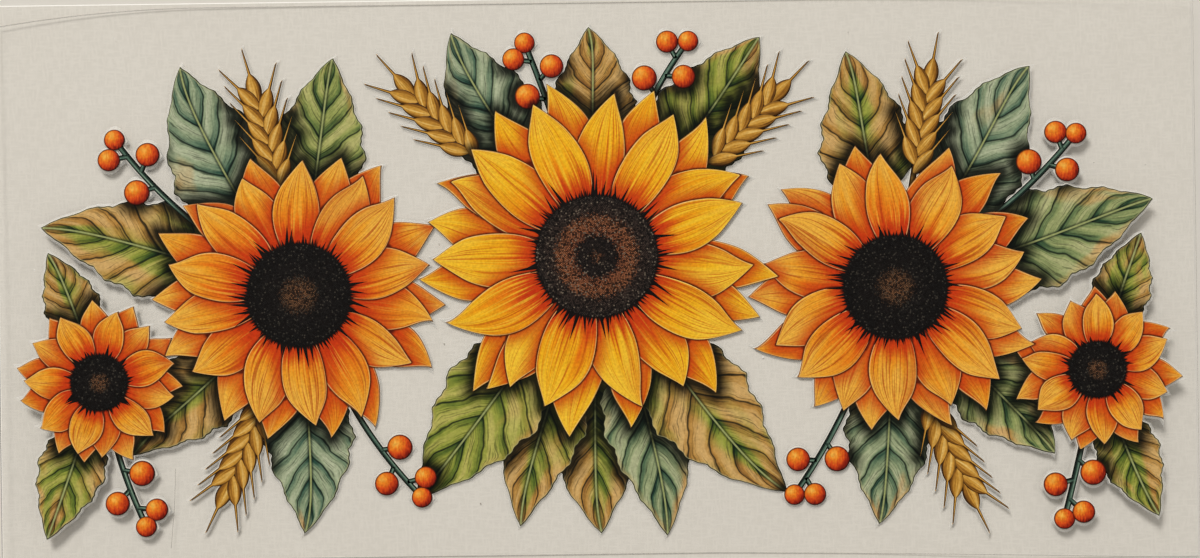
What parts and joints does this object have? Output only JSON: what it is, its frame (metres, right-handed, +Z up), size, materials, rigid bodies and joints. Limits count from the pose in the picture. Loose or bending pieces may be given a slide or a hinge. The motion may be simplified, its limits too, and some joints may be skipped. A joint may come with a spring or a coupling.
{
  "type": "printed decal transfer sheet",
  "caption": "Clear film printed in raised ink with a garland of blooms, leaves, wheat ears and berries, curling up at both ends on its pale release liner.",
  "frame": {"origin": "middle of the sheet's underside, on the surface that it lies on", "axes": "+X along the sheet's length, +Y across its width towards the top of the design, +Z up out of the printed face"},
  "size_m": [0.2412, 0.1142, 0.0041],
  "materials": {
    "liner_paper": "matte",
    "clear_film": "gloss",
    "white_ink": "satin",
    "golden_ink": "satin",
    "orange_ink": "satin",
    "dark_ink": "satin",
    "green_ink": "satin",
    "straw_ink": "satin",
    "berry_ink": "satin"
  },
  "bodies": {
    "root": {"release_liner": "liner_paper", "clear_film": "clear_film", "white_ink_base": "white_ink", "disc_centre": "dark_ink", "petals_centre": "golden_ink", "disc_right": "dark_ink", "petals_right": "orange_ink", "disc_left": "dark_ink", "petals_left": "orange_ink", "disc_far_right": "dark_ink", "petals_far_right": "orange_ink", "disc_far_left": "dark_ink", "petals_far_left": "orange_ink", "sprig_right_1": "berry_ink", "sprig_left_1": "berry_ink", "sprig_right_2": "berry_ink", "sprig_left_2": "berry_ink", "sprig_right_3": "berry_ink", "sprig_left_3": "berry_ink", "sprig_right_4": "berry_ink", "sprig_left_4": "berry_ink", "ear_right_1": "straw_ink", "ear_left_1": "straw_ink", "ear_right_2": "straw_ink", "ear_left_2": "straw_ink", "ear_right_3": "straw_ink", "ear_left_3": "straw_ink", "leaf_right_1": "green_ink", "leaf_left_1": "green_ink", "leaf_right_2": "green_ink", "leaf_left_2": "green_ink", "leaf_right_3": "green_ink", "leaf_left_3": "green_ink", "leaf_right_4": "green_ink", "leaf_left_4": "green_ink", "leaf_right_5": "green_ink", "leaf_left_5": "green_ink", "leaf_right_6": "green_ink", "leaf_left_6": "green_ink", "leaf_right_7": "green_ink", "leaf_left_7": "green_ink", "leaf_right_8": "green_ink", "leaf_left_8": "green_ink", "leaf_right_9": "green_ink", "leaf_left_9": "green_ink", "leaf_right_10": "green_ink", "leaf_left_10": "green_ink", "leaf_middle_1": "green_ink", "leaf_middle_2": "green_ink"}
  },
  "joints": []
}
